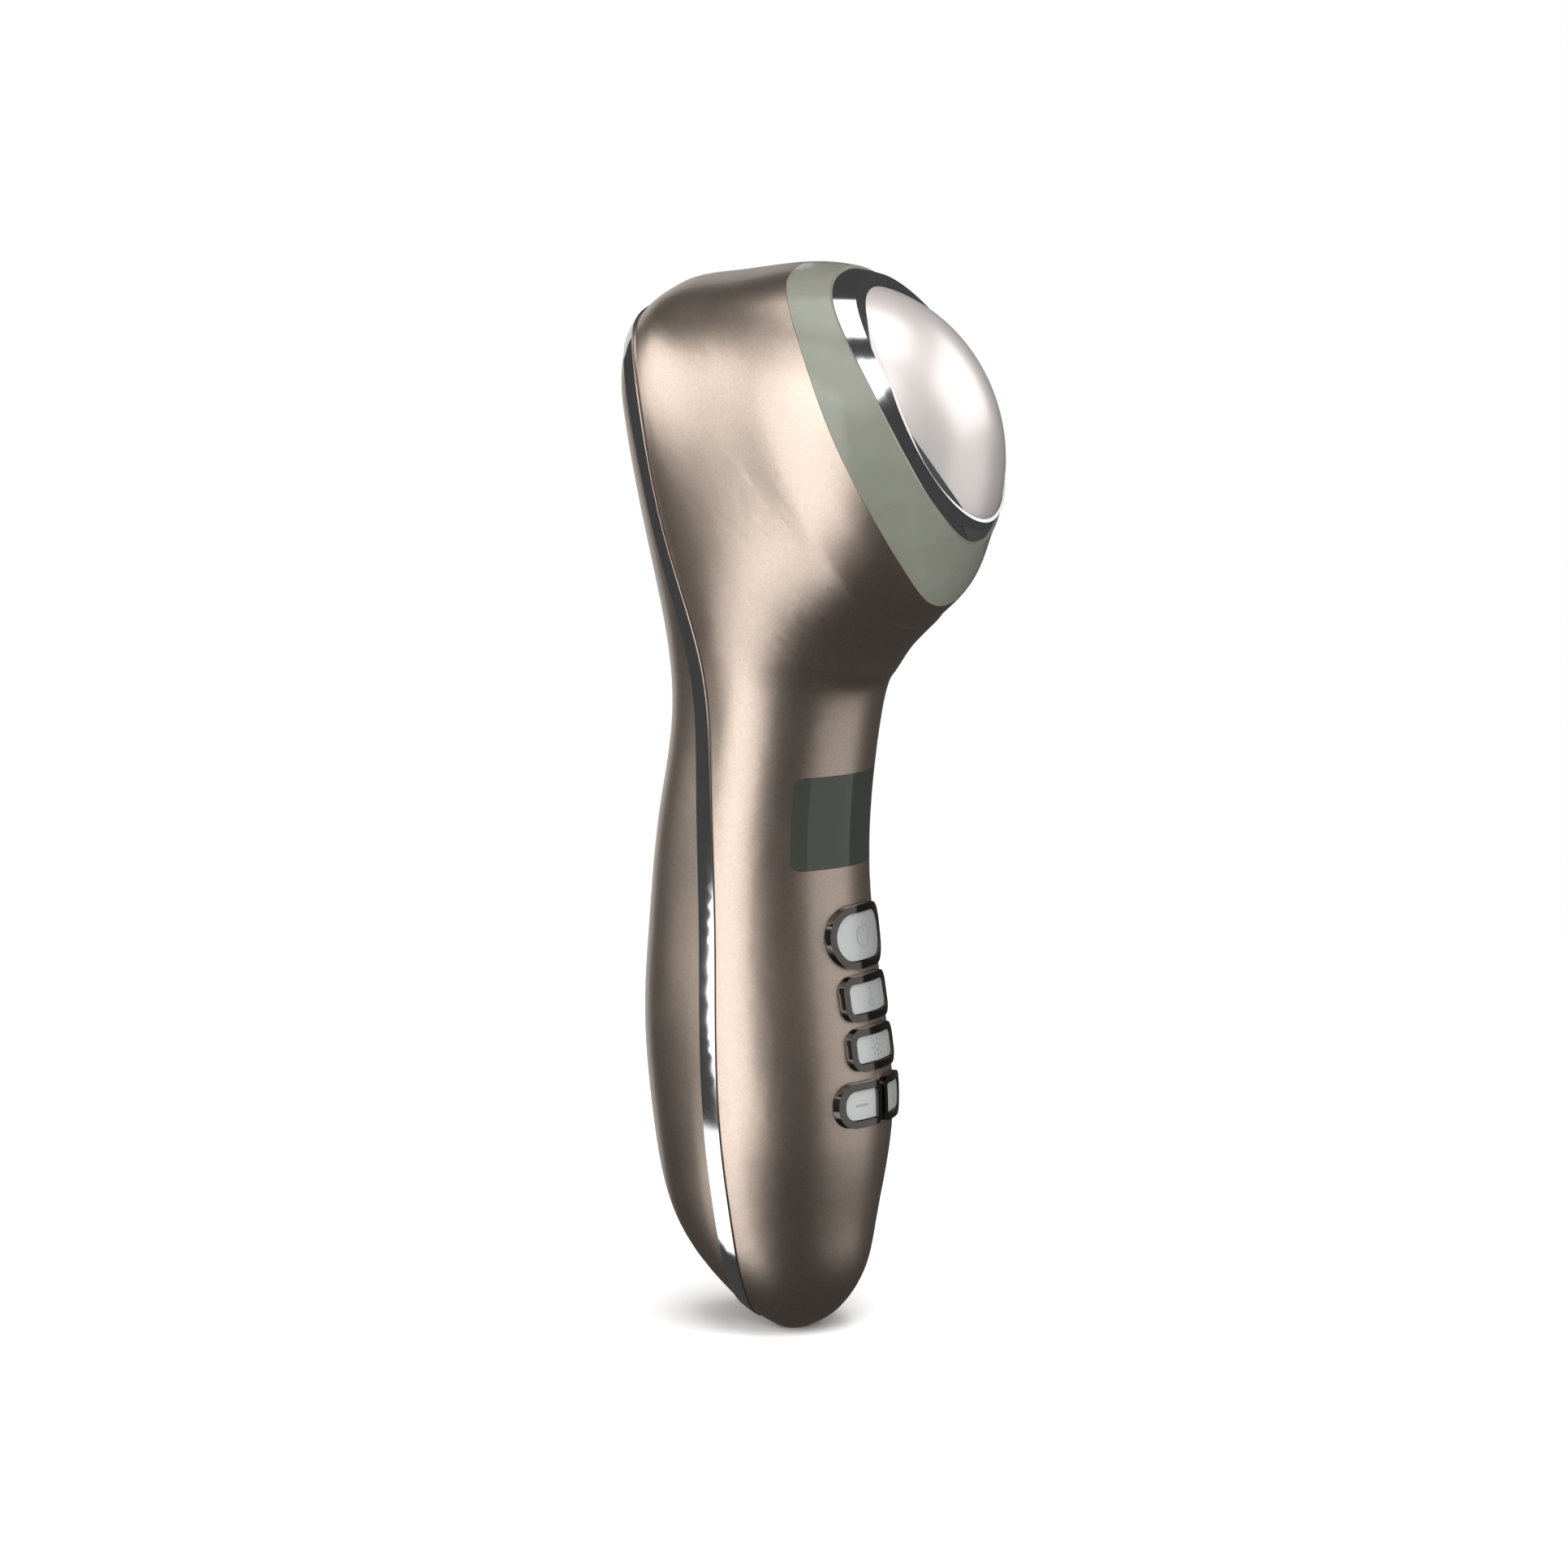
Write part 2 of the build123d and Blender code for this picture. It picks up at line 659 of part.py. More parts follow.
def add_electronics():
    front = board_forward()
    back = front - board_thickness
    bottom = up_of(board_bottom)
    top = up_of(board_top)
    outline = RectangleRounded(2 * board_half_width(), top - bottom, board_corner)
    plane = Plane(origin=(0, -back, (top + bottom) / 2), x_dir=(1, 0, 0), z_dir=(0, -1, 0))
    board = extrude(plane * outline, amount=board_thickness)
    screws = []
    for up in post_heights:
        for across in (-post_across, post_across):
            place = Pos(across, -back, up_of(up)) * Rot(90, 0, 0)
            board = board - place * Cylinder(board_screw_radius + screw_clearance, 4 * board_thickness)
            shank = place * Pos(0, 0, board_screw_length / 2 - 2 * part_gap)
            shank = shank * Cylinder(board_screw_radius, board_screw_length)
            cap = place * Pos(0, 0, -screw_head_height / 2 - part_gap)
            cap = cap * Cylinder(2 * board_screw_radius, screw_head_height)
            screws.append((shank + cap).solid())
    parts["main_board"] = one(board)
    parts["board_screws"] = Compound(children=screws)
    chip = Pos(0, -(back - part_gap - chip_height / 2), up_of(chip_up))
    parts["controller_chip"] = chip * Box(chip_side, chip_height, chip_side)
    transistors = []
    for across in transistor_places:
        place = Pos(across, -(back - part_gap - transistor_height / 2), up_of(transistor_up))
        transistors.append((place * Box(transistor_width, transistor_height, transistor_length)).solid())
    parts["cooler_transistors"] = Compound(children=transistors)
    capacitors = []
    for across in capacitor_places:
        place = Pos(across, -(back - part_gap - capacitor_height / 2), up_of(capacitor_up)) * Rot(90, 0, 0)
        capacitors.append((place * Cylinder(capacitor_radius, capacitor_height)).solid())
    parts["filter_capacitors"] = Compound(children=capacitors)


def cell_forward():
    """The cell lies against the rear wall, clear of it at both ends."""
    backs = [grip_outline(up_of(cell_up) + end * cell_length / 2)[1] for end in (-1, 1)]
    return max(backs) + wall + 2 * part_gap + cell_radius + cell_room


def add_power():
    forward = cell_forward()
    cell = Pos(0, -forward, up_of(cell_up)) * Cylinder(cell_radius, cell_length)
    parts["battery_cell"] = cell
    block = Pos(0, -(forward - cell_radius), up_of(cell_up))
    block = block * Box(3 * cell_radius, cradle_reach, cradle_length)
    way = Pos(0, -forward, up_of(cell_up)) * Cylinder(cell_radius + part_gap, 2 * cell_length)
    parts["battery_cradle"] = one((block & inner_limit) - way)
    base = Pos(0, -forward_of(socket_forward), tip_up())
    nose = base * Pos(0, 0, socket_length / 2) * Cylinder(socket_nose_radius, socket_length)
    barrel_length = socket_length - socket_shoulder
    barrel = base * Pos(0, 0, socket_shoulder + barrel_length / 2) * Cylinder(socket_body_radius, barrel_length)
    bore = base * Cylinder(socket_bore_radius, 2 * socket_bore_depth)
    parts["charging_socket"] = one(nose + barrel - bore)


def add_motor():
    """The vibration motor lies across the throat, with its weight hanging at one end."""
    centre = Pos(0, -forward_of(motor_forward), up_of(motor_up)) * Rot(0, 90, 0)
    can = centre * Pos(0, 0, -can_shift) * Cylinder(motor_radius, motor_length)
    shaft_start = motor_length / 2 - can_shift - shaft_in_can
    well = centre * Pos(0, 0, shaft_start + reach / 2) * Cylinder(shaft_radius + slide_gap, reach)
    parts["motor_can"] = one(can - well)
    shaft = centre * Pos(0, 0, shaft_start + part_gap + shaft_length / 2)
    parts["motor_shaft"] = shaft * Cylinder(shaft_radius, shaft_length)
    weight_start = shaft_start + shaft_in_can + weight_gap
    disc = centre * Pos(0, 0, weight_start + weight_length / 2) * Cylinder(weight_radius, weight_length)
    upper = Pos(0, -forward_of(motor_forward), up_of(motor_up) + weight_flat + weight_radius)
    upper = upper * Box(reach, 4 * weight_radius, 2 * weight_radius)
    axle = centre * Cylinder(shaft_radius, 2 * reach)
    parts["eccentric_weight"] = one(disc - upper - axle)
    block = Pos(-can_shift, -forward_of(motor_forward) + bracket_back + bracket_depth / 2, up_of(motor_up))
    block = block * Box(bracket_width, bracket_depth, bracket_height)
    room = centre * Cylinder(motor_radius + part_gap, 2 * reach)
    parts["motor_bracket"] = one((block & inner_limit) - room)


def lead(points):
    """A round lead along a smooth route through its points."""
    route = Spline([Vector(*point) for point in points])
    start = Plane(origin=route @ 0, z_dir=route % 0)
    return sweep(start * Circle(lead_radius), path=route)


def add_leads():
    back = board_forward() - board_thickness
    board_y = -(back - 2 * lead_radius)
    head_route = [
        (0.0, board_y, up_of(board_top) - 4.0),
        (0.0, board_y + 0.5, up_of(56.0)),
        (3.0, board_y - 1.0, up_of(68.0)),
        (4.0, side((8.0, 80.0)).Y, up_of(80.0)),
    ]
    parts["head_leads"] = lead(head_route)
    cell_end = up_of(cell_up) + cell_length / 2
    cell_route = [
        (0.0, -cell_forward(), cell_end + lead_radius),
        (1.0, -cell_forward() - 3.0, cell_end + 4.0),
        (3.0, board_y + 0.6, cell_end + 6.0),
    ]
    parts["battery_leads"] = lead(cell_route)
    socket_top = tip_up() + socket_length
    socket_route = [
        (0.0, -forward_of(socket_forward), socket_top + part_gap),
        (0.0, -forward_of(socket_forward) + 0.5, socket_top + 8.0),
        (0.0, board_y, up_of(board_bottom) + 2.0),
    ]
    parts["socket_leads"] = lead(socket_route)


def add_case_screws():
    screws = []
    for across, up in boss_places():
        seat = screw_seat(up, abs(across))
        place = Pos(across, -seat, up) * Rot(90, 0, 0)
        shank = place * Pos(0, 0, case_screw_length / 2) * Cylinder(case_screw_radius, case_screw_length)
        cap = place * Pos(0, 0, -screw_head_height / 2 - part_gap) * Cylinder(case_screw_head_radius, screw_head_height)
        link = place * Pos(0, 0, -part_gap) * Cylinder(case_screw_radius, 4 * part_gap)
        screws.append((shank + cap + link).solid())
    parts["case_screws"] = Compound(children=screws)


parts["front_shell"] = make_front_shell()
parts["rear_shell"] = make_rear_shell()
parts["side_trim"] = make_trim()
parts["light_ring"] = make_light_ring()
parts["head_bezel"] = make_bezel()
parts["treatment_dome"] = make_dome()
add_treatment_stack()
add_lighting()
add_display()
add_buttons()
add_electronics()
add_power()
add_motor()
add_leads()
add_case_screws()

os.makedirs("parts", exist_ok=True)
for name, shape in parts.items():
    export_step(shape, "parts/" + name + ".step")
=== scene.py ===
import bpy
import math
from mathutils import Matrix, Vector


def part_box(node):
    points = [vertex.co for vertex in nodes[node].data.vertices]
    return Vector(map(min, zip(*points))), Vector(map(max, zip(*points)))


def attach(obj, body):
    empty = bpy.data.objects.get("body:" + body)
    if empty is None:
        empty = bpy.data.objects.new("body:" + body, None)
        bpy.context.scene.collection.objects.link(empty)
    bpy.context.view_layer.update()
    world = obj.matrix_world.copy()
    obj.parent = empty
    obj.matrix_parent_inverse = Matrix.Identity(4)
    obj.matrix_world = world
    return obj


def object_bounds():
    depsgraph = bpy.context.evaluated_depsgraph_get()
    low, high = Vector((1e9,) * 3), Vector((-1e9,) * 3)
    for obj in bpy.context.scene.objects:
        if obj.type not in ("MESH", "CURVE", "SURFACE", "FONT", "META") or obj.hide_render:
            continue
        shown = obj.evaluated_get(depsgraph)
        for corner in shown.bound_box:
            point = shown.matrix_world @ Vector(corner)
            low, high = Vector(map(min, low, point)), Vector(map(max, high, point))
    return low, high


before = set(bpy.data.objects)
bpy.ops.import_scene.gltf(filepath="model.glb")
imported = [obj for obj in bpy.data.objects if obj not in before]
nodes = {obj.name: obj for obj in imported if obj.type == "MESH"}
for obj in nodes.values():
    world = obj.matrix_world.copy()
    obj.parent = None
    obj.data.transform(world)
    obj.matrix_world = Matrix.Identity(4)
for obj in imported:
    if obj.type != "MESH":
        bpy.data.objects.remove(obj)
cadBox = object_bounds()
mm = 0.001
print("frame loaded,", len(nodes), "nodes")


def linear(hexColour):  # an sRGB hex colour as the linear numbers that the shaders take
    parts = [int(hexColour[i:i + 2], 16) / 255 for i in (1, 3, 5)]
    return [c / 12.92 if c <= 0.04045 else ((c + 0.055) / 1.055) ** 2.4 for c in parts] + [1.0]


def addNode(tree, kind, settings, links=()):  # settings go to a socket of that name, or else a property
    node = tree.nodes.new(kind)
    for key, value in settings.items():
        if key in node.inputs:
            node.inputs[key].default_value = value
        else:
            setattr(node, key, value)
    for socket, source in links:
        tree.links.new(source, node.inputs[socket])
    return node


def startMaterial(name):
    material = bpy.data.materials.new(name)
    material.use_nodes = True
    material.node_tree.nodes.clear()
    return material, material.node_tree


def paint(material, names):  # gives CAD nodes their finish
    for name in names:
        for slot in nodes[name].material_slots:
            slot.material = material


# Camera, a little above the grip, looking at the side and some of the front.
cameraPlan = {
    "aim": (1.5 * mm, -2.6 * mm, 40.8 * mm),
    "toCamera": (-0.858, -0.495, 0.139),
    "distance": 0.9,
    "lens": 118,
    "sensor": 36,
}
toCamera = Vector(cameraPlan["toCamera"]).normalized()
aim = Vector(cameraPlan["aim"])
bpy.ops.object.camera_add(location=aim + toCamera * cameraPlan["distance"])
camera = bpy.context.object
camera.rotation_euler = (-toCamera).to_track_quat("-Z", "Y").to_euler()
camera.data.lens = cameraPlan["lens"]
camera.data.sensor_width = cameraPlan["sensor"]
bpy.context.scene.camera = camera
bpy.context.scene.view_settings.view_transform = "Standard"  # keeps white paper white
print("camera set")

# Studio: a round of pale paper, a dim room that the metal mirrors, and soft boxes.
studioPlan = {
    "surround": 0.06,  # how bright the room looks in the polished metal
    "surroundTint": (1, 0.985, 0.97, 1),
}
# place, width, height, watts, whether the lacquer and chrome mirror it
softBoxes = {
    "sideBox": ((-1.09, 0.06, 0.12), 0.85, 1.25, 6.2, True),
    "rearSideBox": ((-0.6, 0.857, 0.42), 0.8, 0.65, 3.2, True),
    "overBox": ((-0.86, -0.18, 0.82), 1.1, 0.6, 3.2, True),
    "lowSideBox": ((-0.6, 0.27, -0.46), 0.6, 0.42, 1.1, True),
    "frontBox": ((0.52, -0.78, 0.62), 1.3, 0.75, 4.4, True),
    "lowFrontBox": ((0.35, -1.05, -0.15), 1.2, 0.7, 1.5, True),
    "topBox": ((-0.1, -0.05, 1.1), 0.9, 0.7, 3.0, True),
    "backBox": ((0.75, 0.85, 0.1), 0.7, 1.0, 1.4, True),
    "floorFill": ((-0.2, -0.3, 1.3), 1.2, 1.2, 26.0, False),
    "sideFill": ((-1.2, -0.9, 0.5), 0.9, 0.9, 9.0, False),
}
world = bpy.data.worlds.new("studio")
bpy.context.scene.world = world
world.use_nodes = True
sky = world.node_tree
sky.nodes.clear()
white = addNode(sky, "ShaderNodeBackground", {"Color": (1, 1, 1, 1), "Strength": 1.0})
room = addNode(sky, "ShaderNodeBackground",
               {"Color": studioPlan["surroundTint"], "Strength": studioPlan["surround"]})
ray = addNode(sky, "ShaderNodeLightPath", {})
both = addNode(sky, "ShaderNodeMixShader", {},
               [(0, ray.outputs["Is Camera Ray"]), (1, room.outputs[0]), (2, white.outputs[0])])
addNode(sky, "ShaderNodeOutputWorld", {}, [("Surface", both.outputs[0])])

for name, (place, width, height, watts, mirrored) in softBoxes.items():
    bpy.ops.object.light_add(type="AREA", location=place)
    lamp = bpy.context.object
    lamp.name = name
    lamp.data.shape = "RECTANGLE"
    lamp.data.size = width
    lamp.data.size_y = height
    lamp.data.energy = watts
    lamp.rotation_euler = (aim - Vector(place)).to_track_quat("-Z", "Y").to_euler()
    lamp.visible_camera = False
    lamp.visible_glossy = mirrored

# Matt paper: fine fibres scatter the light evenly, so it shows no gloss.
floorPlan = {
    "colour": "#F7F7F6",
    "radius": 0.45,
    "facets": 96,
    "drop": 0.1 * mm,  # below the tip, so that the two don't share a face
    "fibreScale": 40.0,
    "roughness": (0.85, 0.95),
    "gloss": 0.1,
}
bpy.ops.object.select_all(action="DESELECT")
bpy.ops.mesh.primitive_circle_add(vertices=floorPlan["facets"], radius=floorPlan["radius"],
                                  fill_type="NGON", location=(0, 0, cadBox[0][2] - floorPlan["drop"]))
floor = bpy.context.object
floor.name = "floor"
material, tree = startMaterial("matt white paper sweep")
low, high = floorPlan["roughness"]
grain = addNode(tree, "ShaderNodeTexNoise", {"Scale": floorPlan["fibreScale"]})
tone = addNode(tree, "ShaderNodeMapRange", {"To Min": low, "To Max": high},
               [("Value", grain.outputs["Fac"])])
shader = addNode(tree, "ShaderNodeBsdfPrincipled",
                 {"Base Color": linear(floorPlan["colour"]), "Specular IOR Level": floorPlan["gloss"]},
                 [("Roughness", tone.outputs[0])])
addNode(tree, "ShaderNodeOutputMaterial", {}, [("Surface", shader.outputs[0])])
floor.data.materials.append(material)
floor.visible_glossy = False  # left out of reflections, so that the metal mirrors the dim room there
print("studio set")

# Shells: champagne metallic lacquer sprayed on moulded ABS.
# The spray lies smooth, so highlights are broad and even, and its flakes give a fine, warm sparkle.
shellFinish = {
    "base": "#D6C5B7",
    "flake": "#C2AE9E",
    "flakeSize": 0.35,  # real flakes are about 0.03 mm, drawn coarser so that they show
    "flakeShare": 0.45,
    "haze": 9.0,
    "metallic": 1.0,
    "roughness": (0.34, 0.4),
    "coat": 0.2,
    "coatRoughness": 0.12,
}
material, tree = startMaterial("champagne lacquer sprayed on ABS")
low, high = shellFinish["roughness"]
place = addNode(tree, "ShaderNodeTexCoord", {})
flakes = addNode(tree, "ShaderNodeTexVoronoi", {"Scale": 1 / (shellFinish["flakeSize"] * mm)},
                 [("Vector", place.outputs["Object"])])
flakeShade = addNode(tree, "ShaderNodeSeparateColor", {}, [("Color", flakes.outputs["Color"])])
flakeShare = addNode(tree, "ShaderNodeMapRange", {"To Min": 0.0, "To Max": shellFinish["flakeShare"]},
                     [("Value", flakeShade.outputs[0])])
tone = addNode(tree, "ShaderNodeMix", {"data_type": "RGBA"}, [("Factor", flakeShare.outputs[0])])
tone.inputs[6].default_value = linear(shellFinish["base"])  # sockets 6 and 7 are the two colours mixed
tone.inputs[7].default_value = linear(shellFinish["flake"])
haze = addNode(tree, "ShaderNodeTexNoise", {"Scale": 1 / (shellFinish["haze"] * mm), "Detail": 3.0},
               [("Vector", place.outputs["Object"])])
gloss = addNode(tree, "ShaderNodeMapRange", {"To Min": low, "To Max": high},
                [("Value", haze.outputs["Fac"])])
shader = addNode(tree, "ShaderNodeBsdfPrincipled",
                 {"Metallic": shellFinish["metallic"], "Coat Weight": shellFinish["coat"],
                  "Coat Roughness": shellFinish["coatRoughness"]},
                 [("Base Color", tone.outputs[2]), ("Roughness", gloss.outputs[0])])
addNode(tree, "ShaderNodeOutputMaterial", {}, [("Surface", shader.outputs[0])])
paint(material, ["front_shell", "rear_shell"])
print("shells painted")

# Trim and bezel: chrome plated on moulded ABS.
# Plating is a mirror with a faint unevenness, so it takes sharp black and white reflections.
chromeFinish = {
    "base": "#E9E9EB",
    "roughness": (0.07, 0.12),
    "waviness": 3.0,
    "dip": 0.004,
    "dipDepth": 0.05,
}
material, tree = startMaterial("chrome plated ABS")
low, high = chromeFinish["roughness"]
place = addNode(tree, "ShaderNodeTexCoord", {})
wave = addNode(tree, "ShaderNodeTexNoise", {"Scale": 1 / (chromeFinish["waviness"] * mm)},
               [("Vector", place.outputs["Object"])])
gloss = addNode(tree, "ShaderNodeMapRange", {"To Min": low, "To Max": high},
                [("Value", wave.outputs["Fac"])])
dip = addNode(tree, "ShaderNodeBump",
              {"Strength": chromeFinish["dip"], "Distance": chromeFinish["dipDepth"] * mm},
              [("Height", wave.outputs["Fac"])])
shader = addNode(tree, "ShaderNodeBsdfPrincipled",
                 {"Base Color": linear(chromeFinish["base"]), "Metallic": 1.0},
                 [("Roughness", gloss.outputs[0]), ("Normal", dip.outputs[0])])
addNode(tree, "ShaderNodeOutputMaterial", {}, [("Surface", shader.outputs[0])])
paint(material, ["side_trim", "head_bezel"])

# Button rings: chrome plated on moulded ABS, with the base colour darkened as a painted dark reflection.
# The darkened mirror draws a dark outline round each pale cap, with thin bright glints.
keyNames = ("power", "temperature", "light", "minus", "plus")
# the dark grey base colour is painted reflection: it stands in for the dim surroundings these chrome rings
# mirror
keyRingFinish = {"base": "#6B6663", "roughness": (0.08, 0.14), "waviness": 1.5}
material, tree = startMaterial("chrome plated ABS darkened as painted reflection")
low, high = keyRingFinish["roughness"]
place = addNode(tree, "ShaderNodeTexCoord", {})
wave = addNode(tree, "ShaderNodeTexNoise", {"Scale": 1 / (keyRingFinish["waviness"] * mm)},
               [("Vector", place.outputs["Object"])])
gloss = addNode(tree, "ShaderNodeMapRange", {"To Min": low, "To Max": high},
                [("Value", wave.outputs["Fac"])])
shader = addNode(tree, "ShaderNodeBsdfPrincipled",
                 {"Base Color": linear(keyRingFinish["base"]), "Metallic": 1.0},
                 [("Roughness", gloss.outputs[0])])
addNode(tree, "ShaderNodeOutputMaterial", {}, [("Surface", shader.outputs[0])])
paint(material, [name + "_button_ring" for name in keyNames])

# Dome: aluminium, buffed, then clear anodised.
# Buffing leaves a soft silvery mirror, a little blurred and slightly warm.
domeFinish = {
    "base": "#E3DCD9",
    "roughness": (0.32, 0.4),
    "buffing": 0.6,
    "metallic": 0.7,  # the anodised layer is partly clear oxide
    "coat": 0.4,
    "coatRoughness": 0.15,
}
material, tree = startMaterial("buffed and anodised aluminium")
low, high = domeFinish["roughness"]
place = addNode(tree, "ShaderNodeTexCoord", {})
buffed = addNode(tree, "ShaderNodeTexNoise", {"Scale": 1 / (domeFinish["buffing"] * mm), "Detail": 4.0},
                 [("Vector", place.outputs["Object"])])
gloss = addNode(tree, "ShaderNodeMapRange", {"To Min": low, "To Max": high},
                [("Value", buffed.outputs["Fac"])])
shader = addNode(tree, "ShaderNodeBsdfPrincipled",
                 {"Base Color": linear(domeFinish["base"]), "Metallic": domeFinish["metallic"],
                  "Coat Weight": domeFinish["coat"], "Coat Roughness": domeFinish["coatRoughness"]},
                 [("Roughness", gloss.outputs[0])])
addNode(tree, "ShaderNodeOutputMaterial", {}, [("Surface", shader.outputs[0])])
paint(material, ["treatment_dome"])

# Light ring: frosted acrylic, moulded.
# Light goes a little way in and scatters, so the ring looks milky grey-green, with a soft gloss outside.
ringFinish = {
    "base": "#74766C",
    "deep": "#686A60",
    "cloud": 6.0,
    "roughness": (0.22, 0.3),
    "scatter": 0.35,
    "scatterDepth": 1.5,
    "ior": 1.49,
    "coat": 0.4,
    "coatRoughness": 0.1,
}
material, tree = startMaterial("frosted acrylic moulded")
low, high = ringFinish["roughness"]
place = addNode(tree, "ShaderNodeTexCoord", {})
cloud = addNode(tree, "ShaderNodeTexNoise", {"Scale": 1 / (ringFinish["cloud"] * mm), "Detail": 2.0},
                [("Vector", place.outputs["Object"])])
tone = addNode(tree, "ShaderNodeMix", {"data_type": "RGBA"}, [("Factor", cloud.outputs["Fac"])])
tone.inputs[6].default_value = linear(ringFinish["base"])
tone.inputs[7].default_value = linear(ringFinish["deep"])
gloss = addNode(tree, "ShaderNodeMapRange", {"To Min": low, "To Max": high},
                [("Value", cloud.outputs["Fac"])])
shader = addNode(tree, "ShaderNodeBsdfPrincipled",
                 {"Subsurface Weight": ringFinish["scatter"],
                  "Subsurface Scale": ringFinish["scatterDepth"] * mm,
                  "IOR": ringFinish["ior"], "Coat Weight": ringFinish["coat"],
                  "Coat Roughness": ringFinish["coatRoughness"]},
                 [("Base Color", tone.outputs[2]), ("Roughness", gloss.outputs[0])])
addNode(tree, "ShaderNodeOutputMaterial", {}, [("Surface", shader.outputs[0])])
paint(material, ["light_ring"])

# Display window: smoked acrylic, moulded and polished.
# It looks nearly black-green with sharp reflections, because the display behind it is off.
windowFinish = {"base": "#2F332D", "roughness": (0.06, 0.1), "film": 5.0, "ior": 1.49}
material, tree = startMaterial("smoked acrylic polished")
low, high = windowFinish["roughness"]
place = addNode(tree, "ShaderNodeTexCoord", {})
film = addNode(tree, "ShaderNodeTexNoise", {"Scale": 1 / (windowFinish["film"] * mm)},
               [("Vector", place.outputs["Object"])])
gloss = addNode(tree, "ShaderNodeMapRange", {"To Min": low, "To Max": high},
                [("Value", film.outputs["Fac"])])
shader = addNode(tree, "ShaderNodeBsdfPrincipled",
                 {"Base Color": linear(windowFinish["base"]), "IOR": windowFinish["ior"]},
                 [("Roughness", gloss.outputs[0])])
addNode(tree, "ShaderNodeOutputMaterial", {}, [("Surface", shader.outputs[0])])
paint(material, ["display_window"])

# Keys: satin silver lacquer sprayed on moulded ABS.
# A fine spray grain breaks the highlight up, so the caps look soft beside their mirror-like rings.
keyFinish = {
    "base": "#C6C8C7",
    "grain": 0.25,
    "roughness": (0.32, 0.42),
    "metallic": 0.65,
    "dip": 0.06,
    "dipDepth": 0.02,
}
material, tree = startMaterial("satin silver lacquer on ABS")
low, high = keyFinish["roughness"]
place = addNode(tree, "ShaderNodeTexCoord", {})
grain = addNode(tree, "ShaderNodeTexNoise", {"Scale": 1 / (keyFinish["grain"] * mm), "Detail": 2.0},
                [("Vector", place.outputs["Object"])])
gloss = addNode(tree, "ShaderNodeMapRange", {"To Min": low, "To Max": high},
                [("Value", grain.outputs["Fac"])])
dip = addNode(tree, "ShaderNodeBump",
              {"Strength": keyFinish["dip"], "Distance": keyFinish["dipDepth"] * mm},
              [("Height", grain.outputs["Fac"])])
shader = addNode(tree, "ShaderNodeBsdfPrincipled",
                 {"Base Color": linear(keyFinish["base"]), "Metallic": keyFinish["metallic"]},
                 [("Roughness", gloss.outputs[0]), ("Normal", dip.outputs[0])])
addNode(tree, "ShaderNodeOutputMaterial", {}, [("Surface", shader.outputs[0])])
paint(material, [name + "_button" for name in keyNames])

# Ink for the marks on the keys: pad printed grey.
# Printing ink is thin and dull, so the marks only show as a slightly darker grey.
inkFinish = {"base": "#7F8181", "speck": 0.3, "roughness": (0.5, 0.65)}
greyInk, tree = startMaterial("pad printed grey ink")
low, high = inkFinish["roughness"]
place = addNode(tree, "ShaderNodeTexCoord", {})
speck = addNode(tree, "ShaderNodeTexNoise", {"Scale": 1 / (inkFinish["speck"] * mm)},
                [("Vector", place.outputs["Object"])])
gloss = addNode(tree, "ShaderNodeMapRange", {"To Min": low, "To Max": high},
                [("Value", speck.outputs["Fac"])])
shader = addNode(tree, "ShaderNodeBsdfPrincipled", {"Base Color": linear(inkFinish["base"])},
                 [("Roughness", gloss.outputs[0])])
addNode(tree, "ShaderNodeOutputMaterial", {}, [("Surface", shader.outputs[0])])
print("outside painted")

